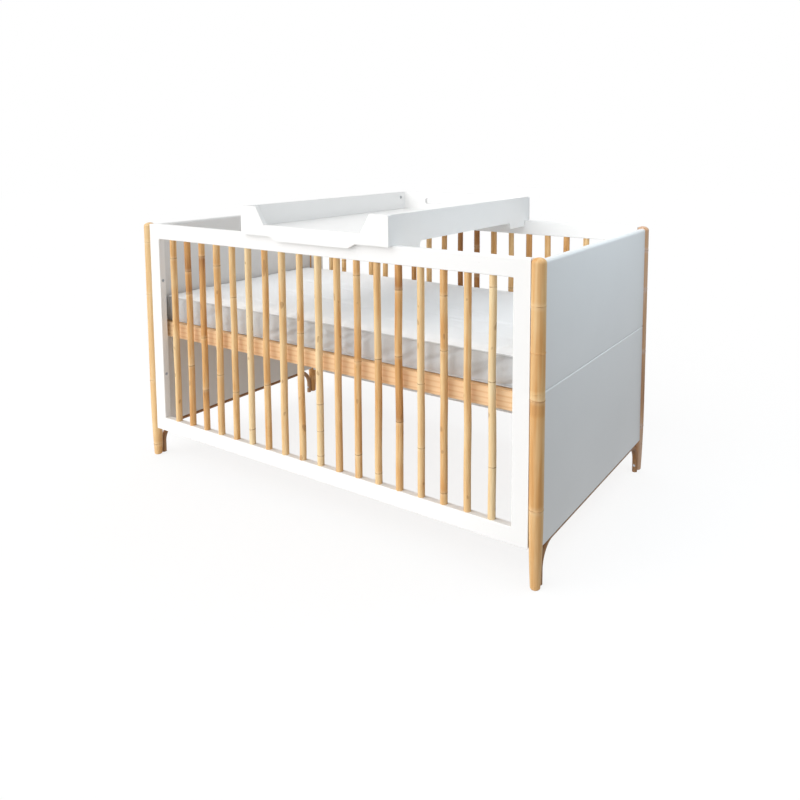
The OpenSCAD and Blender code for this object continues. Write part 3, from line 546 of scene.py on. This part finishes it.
caneSettings = {
    "radius": 0.0105,
    "crook": 0.0020,               # how far a cane wanders from straight
    "ringRise": 0.045,             # share of the radius that a ring swells
    "ringWidth": 0.005,
    "station": 0.0022,             # spacing of the rings of points along a cane
    "facets": 14,
    "sunk": 0.001,                 # how far a cane reaches into the rails
    "stoutness": (0.92, 1.06),     # share of the radius, from the thinnest cane to the stoutest
    "taper": (-0.09, 0.04),        # how much a cane widens towards its head, least and most
    "stainLength": 0.085,
    "seeds": {"front": 11, "back": 47},
    # tone of each cane from left to right, then its rings, each with its share of the height and how
    # much darker the cane is above it, or beneath it where that is below 0
    "frontMarks": [
        (0.44, (0.90, 0.05)), (0.54, (0.72, 0.36), (0.84, 0.30), (0.33, -0.20)),
        (0.56, (0.93, -0.34), (0.22, -0.34), (0.50, 0.15)), (0.36, (0.32, 0.05), (0.89, 0.12)),
        (0.44, (0.25, 0.08), (0.74, 0.10)), (0.16, (0.08, 0.0)), (0.42, (0.33, 0.16)), (0.28,),
        (0.40, (0.62, 0.10)), (0.18, (0.30, 0.10), (0.17, 0.06), (0.05, 0.0)), (0.52,),
        (0.54, (0.54, 0.14), (0.11, 0.12), (0.93, 0.20)), (0.40, (0.57, -0.15), (0.05, 0.16)),
        (0.48, (0.89, 0.45), (0.31, 0.40), (0.60, -0.20)), (0.28, (0.50, 0.0), (0.22, 0.0)),
        (0.46, (0.89, 0.10), (0.66, 0.12), (0.05, 0.25)), (0.38,),
        (0.16, (0.95, 0.20), (0.57, 0.10), (0.22, 0.05)),
    ],
    "backTones": [0.45, 0.50, 0.35, 0.60, 0.45, 0.40, 0.70, 0.40, 0.55, 0.95, 1.0, 0.60, 0.50, 0.50, 0.45,
                  0.55, 0.40, 0.30],
}


def planCanes(settings, side, low, high):
    rng = np.random.default_rng(settings["seeds"][side])
    if side == "front":
        rows = settings["frontMarks"]
    else:
        rows = []
        for tone in settings["backTones"]:
            marks = [(rng.uniform(0.05, 0.95), rng.uniform(-0.2, 0.3)) for k in range(rng.integers(0, 3))]
            rows.append((tone, *marks))
    spots = np.linspace(low.x + settings["radius"], high.x - settings["radius"], len(rows))
    plan = bpy.data.meshes.new(side + "CanePlan")
    plan.from_pydata([(x, (low.y + high.y) / 2, low.z) for x in spots], [], [])
    values = {"tone": [row[0] for row in rows], "cane": range(len(rows))}
    for k, c in enumerate("ABC"):
        marks = [row[k + 1] if len(row) > k + 1 else (-1.0, 0.0) for row in rows]
        values["ring" + c] = [share * (high.z - low.z) for share, stain in marks]
        values["stain" + c] = [stain for share, stain in marks]
    for key, numbers in values.items():
        layer = plan.attributes.new(key, "FLOAT", "POINT")
        layer.data.foreach_set("value", np.array(numbers, dtype=np.float32))
    return plan


def buildCaneTree(settings):
    group, put, leave = newGroup(
        "caneRow", "GeometryNodeTree",
        [("Feet", "Geometry"), ("Length", "Float"), ("Cane Radius", "Float"), ("Crook", "Float"),
         ("Ring Rise", "Float"), ("Ring Width", "Float"), ("Stain Length", "Float"), ("Station", "Float"),
         ("Facets", "Int"), ("Seed", "Int"), ("Finish", "Material")],
        [("Geometry", "Geometry")])

    def own(key):
        return addNode(group, "GeometryNodeInputNamedAttribute", {"Name": key}, data_type="FLOAT").outputs[0]

    def chance(low, high, salt):
        seed = calc(group, "ADD", put["Seed"], float(salt))
        node = addNode(group, "FunctionNodeRandomValue", {"ID": own("cane"), "Seed": seed}, data_type="FLOAT")
        node.inputs[2].default_value, node.inputs[3].default_value = low, high
        return node.outputs[1]

    def store(geometry, name, value):
        node = addNode(group, "GeometryNodeStoreNamedAttribute", {"Geometry": geometry, "Name": name},
                       data_type="FLOAT", domain="POINT")
        group.links.new(value, node.inputs["Value"])
        return node.outputs[0]

    tip = addNode(group, "ShaderNodeCombineXYZ", {2: put["Length"]}).outputs[0]
    pole = addNode(group, "GeometryNodeCurvePrimitiveLine", {"End": tip}).outputs[0]
    fine = addNode(group, "GeometryNodeResampleCurve", {"Curve": pole, "Length": put["Station"]},
                   mode="LENGTH")
    spot = addNode(group, "GeometryNodeInputPosition").outputs[0]
    level = addNode(group, "ShaderNodeSeparateXYZ", {0: spot}).outputs[2]
    measured = store(fine.outputs[0], "caneHeight", level)
    placed = addNode(group, "GeometryNodeInstanceOnPoints", {"Points": put["Feet"], "Instance": measured})
    canes = addNode(group, "GeometryNodeRealizeInstances", {"Geometry": placed.outputs[0]}).outputs[0]

    height = own("caneHeight")
    ring, tone = None, own("tone")
    for c in "ABC":
        above = calc(group, "SUBTRACT", height, own("ring" + c))
        mask = ramp(group, calc(group, "ABSOLUTE", above), 0.0, put["Ring Width"], 1.0, 0.0)
        ring = mask if ring is None else calc(group, "MAXIMUM", ring, mask)
        away = calc(group, "MULTIPLY", above, calc(group, "SIGN", own("stain" + c)))
        reach = calc(group, "MULTIPLY", put["Stain Length"], -1.0)
        fade = calc(group, "EXPONENT", calc(group, "DIVIDE", away, reach))
        stain = calc(group, "MULTIPLY", calc(group, "ABSOLUTE", own("stain" + c)),
                     calc(group, "MULTIPLY", fade, calc(group, "GREATER_THAN", away, 0.0)))
        tone = calc(group, "ADD", tone, stain)
    streak = addNode(group, "ShaderNodeCombineXYZ", {0: chance(0.0, 90.0, 5), 2: height}).outputs[0]
    patch = ramp(group, noise(group, streak, 5.5, 2.0), 0.50, 0.78, -0.04, 0.20, soft=True)
    toned = store(canes, "caneTone", calc(group, "ADD", tone, patch, clamp=True))

    drift = addNode(group, "ShaderNodeCombineXYZ", {0: chance(0.0, 90.0, 6), 1: chance(0.0, 90.0, 7),
                                                     2: height}).outputs[0]
    lean = addNode(group, "ShaderNodeTexNoise", {"Vector": drift, "Scale": 3.4, "Detail": 1.0})
    centred = addNode(group, "ShaderNodeVectorMath", {0: lean.outputs["Color"], 1: (0.5, 0.5, 0.5)},
                      operation="SUBTRACT").outputs[0]
    flat = addNode(group, "ShaderNodeVectorMath", {0: centred, 1: (1, 1, 0)}, operation="MULTIPLY").outputs[0]
    along = calc(group, "DIVIDE", height, put["Length"])
    held = calc(group, "SINE", calc(group, "MULTIPLY", along, math.pi), clamp=True)
    reach = calc(group, "MULTIPLY", put["Crook"], 4.0)
    amount = calc(group, "MULTIPLY", calc(group, "POWER", held, 0.6), reach)
    push = addNode(group, "ShaderNodeVectorMath", {0: flat, 3: amount}, operation="SCALE").outputs[0]
    bent = addNode(group, "GeometryNodeSetPosition", {"Geometry": toned, "Offset": push}).outputs[0]

    stout = chance(*settings["stoutness"], 8)
    taper = calc(group, "MULTIPLY_ADD", along, chance(*settings["taper"], 9), 1.0)
    swell = calc(group, "POWER", ring, 1.5)
    cut = ramp(group, ring, 0.80, 1.0, 0.0, 0.9)
    rise = calc(group, "MULTIPLY", calc(group, "SUBTRACT", swell, cut), put["Ring Rise"])
    width = calc(group, "MULTIPLY", calc(group, "MULTIPLY", stout, taper), calc(group, "ADD", rise, 1.0))
    circle = addNode(group, "GeometryNodeCurvePrimitiveCircle",
                     {"Resolution": put["Facets"], "Radius": put["Cane Radius"]}).outputs[0]
    skin = addNode(group, "GeometryNodeCurveToMesh", {"Curve": bent, "Profile Curve": circle, "Scale": width,
                                                      "Fill Caps": True}).outputs[0]
    smooth = addNode(group, "GeometryNodeSetShadeSmooth", {"Geometry": skin}).outputs[0]
    joined = addNode(group, "GeometryNodeRealizeInstances", {"Geometry": smooth}).outputs[0]
    done = addNode(group, "GeometryNodeSetMaterial", {"Geometry": joined, "Material": put["Finish"]})
    group.links.new(done.outputs[0], leave.inputs["Geometry"])
    return group


def growMesh(name, start, tree, values):
    holder = addObject(name, start)
    modifier = holder.modifiers.new("grow", "NODES")
    modifier.node_group = tree
    for item in tree.interface.items_tree:
        if item.in_out == "INPUT" and item.name in values:
            modifier[item.identifier] = values[item.name]
    bakeModifiers(holder)
    holder.data.name = name
    return holder


def addCanes(settings, tree, side):
    low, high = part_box(side + "_bars")
    low.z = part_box(side + "_bottom_rail")[1].z - settings["sunk"]
    high.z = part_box(side + "_top_rail")[0].z + settings["sunk"]
    piece = growMesh(side + "Canes", planCanes(settings, side, low, high), tree, {
        "Length": high.z - low.z, "Cane Radius": settings["radius"], "Crook": settings["crook"],
        "Ring Rise": settings["ringRise"], "Ring Width": settings["ringWidth"],
        "Stain Length": settings["stainLength"], "Station": settings["station"], "Facets": settings["facets"],
        "Seed": settings["seeds"][side], "Finish": finishes["cane"]})
    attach(piece, "crib")
    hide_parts(side + "_bars")
    print(side, "canes:", len(piece.data.polygons), "faces")


caneTree = buildCaneTree(caneSettings)
for side in ("front", "back"):
    addCanes(caneSettings, caneTree, side)


# Mattress: a crowned block in a loose cotton cover, white on top and grey round its border

mattressSettings = {
    "gridStep": 0.0115,            # spacing of the points before the cover is let go
    "cornerRadius": 0.014,
    "edgeRadius": 0.010,
    "clearance": 0.002,            # kept from the CAD mattress's outline, for the cloth to swell into
    "crown": 0.005,                # how much higher its middle is than its edge
    "slack": -0.018,               # how much larger the cloth is than the foam
    "pressure": 3.0,
    "quality": 4,
    "mass": 0.25,
    "stiffness": 0.4,
    "frames": 20,
    "cap": 0.006,                  # most that a point of the cover moves
    "seamReach": 0.6,              # share of the edge's radius that the seam holds
    "seamDepth": 0.02,             # how far in from the border it holds
    "pipingRadius": 0.0022,
    "pipingFacets": 8,
    "pipingInset": 0.30,           # shares of the edge's radius that the piping lies in and down
    "pipingDrop": 0.35,
    "foldSeed": 5,
    "foldDepth": 0.0070,
    "folds": 26,                   # slanted folds on each long side
    "foldSlant": (1.0, 2.8),       # how far they lean for their height
    "foldWidth": (0.011, 0.024),
    "foldShare": (0.3, 1.0),       # how deep they are, as a share of the depth
    "leanRight": 0.9,              # share of them that lean to the right
    "creases": 16,                 # long shallow creases on top, most near the front edge
    "creaseArea": ((-0.45, 0.55), (-0.32, 0.1)),
    "creaseTurn": (-0.25, 0.12),
    "creaseReach": (0.05, 0.16),
    "creaseWidth": 0.009,
    "creaseShare": 0.45,
}


def roundedGrid(halfX, halfY, radius, step):
    def stations(half):
        corner = np.linspace(0, radius, max(3, round(radius / step)) + 1)[1:]
        straight = np.linspace(radius - half, half - radius, round(2 * (half - radius) / step) + 1)
        return np.concatenate([-(half - radius + corner)[::-1], straight, half - radius + corner])

    x, y = np.meshgrid(stations(halfX), stations(halfY), indexing="ij")
    outX = np.clip((np.abs(x) - halfX + radius) / radius, 0, 1)
    outY = np.clip((np.abs(y) - halfY + radius) / radius, 0, 1)
    flatX = np.sign(x) * (np.minimum(np.abs(x), halfX - radius) + radius * outX * np.sqrt(1 - outY ** 2 / 2))
    flatY = np.sign(y) * (np.minimum(np.abs(y), halfY - radius) + radius * outY * np.sqrt(1 - outX ** 2 / 2))
    return np.stack([flatX, flatY], axis=-1)


def borderOf(rows, columns):
    loop = [(i, 0) for i in range(rows - 1)] + [(rows - 1, j) for j in range(columns - 1)]
    loop += [(i, columns - 1) for i in range(rows - 1, 0, -1)] + [(0, j) for j in range(columns - 1, 0, -1)]
    return loop


def mattressShell(settings):
    low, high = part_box("mattress")
    middle, half = (low + high) / 2, (high - low) / 2
    step, edge, crown = settings["gridStep"], settings["edgeRadius"], settings["crown"]
    halfX, halfY = half.x - settings["clearance"], half.y - settings["clearance"]
    top = high.z - crown
    grid = roundedGrid(halfX, halfY, settings["cornerRadius"], step)
    rows, columns = grid.shape[:2]
    loop = borderOf(rows, columns)
    path = np.array([grid[i, j] for i, j in loop])
    mesh = bmesh.new()

    def spread(height, rise):
        flat = grid * [(halfX - edge) / halfX, (halfY - edge) / halfY]
        arch = rise * (1 - np.abs(grid[..., 0] / halfX) ** 4) * (1 - np.abs(grid[..., 1] / halfY) ** 4)
        return [[mesh.verts.new((middle.x + flat[i, j, 0], middle.y + flat[i, j, 1], height + arch[i, j]))
                 for j in range(columns)] for i in range(rows)]

    def close(points, upward):
        for i in range(rows - 1):
            for j in range(columns - 1):
                four = (points[i][j], points[i + 1][j], points[i + 1][j + 1], points[i][j + 1])
                face = mesh.faces.new(four if upward else four[::-1])
                face.material_index = 0 if upward else 1

    def band(inset, height):
        scaled = path * [(halfX - inset) / halfX, (halfY - inset) / halfY]
        return [mesh.verts.new((middle.x + x, middle.y + y, height)) for x, y in scaled]

    under, over = spread(low.z, 0.0), spread(top, crown)
    close(under, False)
    close(over, True)
    bands = [[under[i][j] for i, j in loop]]
    turns = [math.radians(angle) for angle in (30, 60, 90)]
    bands += [band(edge * (1 - math.sin(turn)), low.z + edge * (1 - math.cos(turn))) for turn in turns]
    rungs = max(3, round((top - low.z - 2 * edge) / step))
    bands += [band(0.0, low.z + edge + (top - low.z - 2 * edge) * k / rungs) for k in range(1, rungs + 1)]
    bands += [band(edge * (1 - math.cos(turn)), top - edge * (1 - math.sin(turn))) for turn in turns[:2]]
    bands.append([over[i][j] for i, j in loop])
    for k in range(len(bands) - 1):
        for j in range(len(loop)):
            after = (j + 1) % len(loop)
            face = mesh.faces.new((bands[k][j], bands[k][after], bands[k + 1][after], bands[k + 1][j]))
            face.material_index = 1 if k < len(bands) - 3 else 0
    for face in mesh.faces:
        face.smooth = True
    data = bpy.data.meshes.new("mattressCover")
    mesh.to_mesh(data)
    mesh.free()
    return addObject("mattressCover", data), path


def letCoverGo(piece, settings):
    seam = piece.vertex_groups.new(name="seam")
    start = np.array([v.co for v in piece.data.vertices])
    low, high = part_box("mattress")
    top = high.z - settings["crown"]
    for v in piece.data.vertices:
        onEdge = min(abs(v.co.z - low.z), abs(v.co.z - top)) < settings["edgeRadius"] * settings["seamReach"]
        near = max(abs(v.co.x) - high.x, abs(v.co.y) - high.y) + settings["seamDepth"] > 0
        if (onEdge and near) or v.co.z < low.z + 0.001:
            seam.add([v.index], 1.0, "REPLACE")
    cloth = piece.modifiers.new("cover", "CLOTH")
    cloth.settings.quality = settings["quality"]
    cloth.settings.mass = settings["mass"]
    cloth.settings.effector_weights.gravity = 0
    cloth.settings.use_pressure = True
    cloth.settings.uniform_pressure_force = settings["pressure"]
    cloth.settings.shrink_min = settings["slack"]
    cloth.settings.vertex_group_mass = "seam"
    cloth.settings.bending_stiffness = settings["stiffness"]
    cloth.collision_settings.use_collision = False
    for number in range(1, settings["frames"] + 1):
        scene.frame_set(number)
    moved = piece.evaluated_get(bpy.context.evaluated_depsgraph_get()).data
    end = np.array([v.co for v in moved.vertices])
    piece.modifiers.remove(cloth)
    scene.frame_set(1)
    shift = end - start
    length = np.linalg.norm(shift, axis=1, keepdims=True)
    shift *= np.minimum(1.0, settings["cap"] / np.maximum(length, 1e-9))
    piece.data.vertices.foreach_set("co", (start + shift).ravel())
    piece.data.update()
    print("cover let go, moved by up to", round(float(length.max()) * 1000, 1), "mm")


def addFolds(piece, settings):
    low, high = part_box("mattress")
    rng = np.random.default_rng(settings["foldSeed"])
    coords = np.array([v.co for v in piece.data.vertices])
    normals = np.array([v.normal for v in piece.data.vertices])
    depth = np.zeros(len(coords))
    tall = np.clip((coords[:, 2] - low.z) / (high.z - low.z), 0, 1)
    onBorder = np.abs(normals[:, 2]) < 0.6
    hold = np.sin(math.pi * tall) ** 0.7
    for sign in (-1, 1):
        side = onBorder & (np.sign(coords[:, 1]) == sign) & (np.abs(normals[:, 1]) > 0.5)
        for k in range(settings["folds"]):
            foot = rng.uniform(low.x, high.x)
            slant = rng.uniform(*settings["foldSlant"]) * (1 if rng.random() < settings["leanRight"] else -1)
            width = rng.uniform(*settings["foldWidth"])
            line = coords[:, 0] - foot - slant * (coords[:, 2] - low.z)
            depth += side * rng.uniform(*settings["foldShare"]) * np.exp(-(line / width) ** 2) * hold
    onTop = normals[:, 2] > 0.7
    for k in range(settings["creases"]):
        centre = [rng.uniform(*reach) for reach in settings["creaseArea"]]
        turn = rng.uniform(*settings["creaseTurn"])
        across = (coords[:, 1] - centre[1]) * math.cos(turn) - (coords[:, 0] - centre[0]) * math.sin(turn)
        along = (coords[:, 0] - centre[0]) * math.cos(turn) + (coords[:, 1] - centre[1]) * math.sin(turn)
        reach = rng.uniform(*settings["creaseReach"])
        crease = np.exp(-(across / settings["creaseWidth"]) ** 2 - (along / reach) ** 2)
        depth += onTop * settings["creaseShare"] * crease
    coords -= normals * (settings["foldDepth"] * np.clip(depth, 0, 1.3))[:, None]
    piece.data.vertices.foreach_set("co", coords.ravel())
    piece.data.update()


def addPiping(settings, path):
    low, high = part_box("mattress")
    middle = (low + high) / 2
    inset = 1 - settings["edgeRadius"] * settings["pipingInset"] / (high.x - middle.x)
    facets, radius = settings["pipingFacets"], settings["pipingRadius"]
    drop = settings["edgeRadius"] * settings["pipingDrop"]
    heights = (low.z + drop, high.z - settings["crown"] - drop)
    mesh = bmesh.new()
    ahead = np.roll(path, -1, axis=0) - np.roll(path, 1, axis=0)
    outward = np.stack([ahead[:, 1], -ahead[:, 0]], axis=1)
    outward /= np.linalg.norm(outward, axis=1, keepdims=True)
    for height in heights:
        rows = []
        for (x, y), (nx, ny) in zip(path * inset, outward):
            ring = []
            for k in range(facets):
                angle = math.tau * k / facets
                out = radius * math.cos(angle)
                ring.append(mesh.verts.new((middle.x + x + nx * out, middle.y + y + ny * out,
                                            height + radius * math.sin(angle))))
            rows.append(ring)
        for j in range(len(rows)):
            here, there = rows[j], rows[(j + 1) % len(rows)]
            for k in range(facets):
                face = mesh.faces.new((here[k], there[k], there[(k + 1) % facets], here[(k + 1) % facets]))
                face.smooth = True
    bmesh.ops.recalc_face_normals(mesh, faces=mesh.faces)
    data = bpy.data.meshes.new("mattressPiping")
    mesh.to_mesh(data)
    mesh.free()
    data.materials.append(finishes["coverSide"])
    return addObject("mattressPiping", data)


def addMattress(settings):
    piece, path = mattressShell(settings)
    piece.data.materials.append(finishes["coverTop"])
    piece.data.materials.append(finishes["coverSide"])
    letCoverGo(piece, settings)
    smooth = piece.modifiers.new("fine", "SUBSURF")
    smooth.levels = smooth.render_levels = 1
    bakeModifiers(piece)
    addFolds(piece, settings)
    piping = addPiping(settings, path)
    for part in (piece, piping):
        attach(part, "mattress")
    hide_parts("mattress")
    print("mattress:", len(piece.data.polygons), "faces")


addMattress(mattressSettings)
